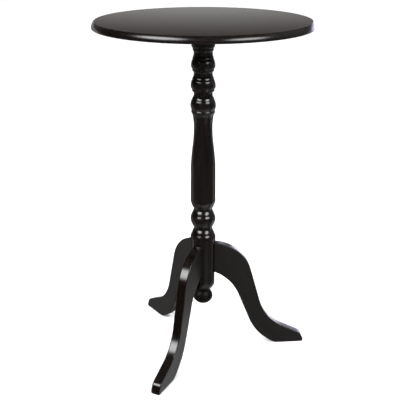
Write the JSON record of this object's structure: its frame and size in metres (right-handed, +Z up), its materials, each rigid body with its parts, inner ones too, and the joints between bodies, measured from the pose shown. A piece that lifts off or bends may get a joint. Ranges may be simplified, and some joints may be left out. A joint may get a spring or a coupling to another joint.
{
  "type": "wine table",
  "caption": "Small round occasional table: a thin wooden top with a bowed rim on a turned baluster column, carried by splayed S-shaped legs around a hub with a ball knob below.",
  "frame": {"origin": "on the floor, under the axis of the column", "axes": "+Z up along the column, +X along one leg"},
  "size_m": [0.4076, 0.4, 0.66],
  "materials": {
    "espresso_wood": "near-black espresso lacquer, satin",
    "black_steel": "black powder coat",
    "zinc_steel": "zinc plated",
    "insert_brass": "turned"
  },
  "bodies": {
    "root": {"table_top": "espresso_wood", "top_plate": "black_steel", "top_plate_screws": "zinc_steel", "plate_nut": "zinc_steel", "tie_rod": "zinc_steel", "column": "espresso_wood", "hub": "espresso_wood", "leg_right": "espresso_wood", "leg_rear": "espresso_wood", "leg_front": "espresso_wood", "clamp_washer": "zinc_steel", "clamp_nut": "zinc_steel", "finial": "espresso_wood", "finial_insert": "insert_brass"}
  },
  "joints": []
}
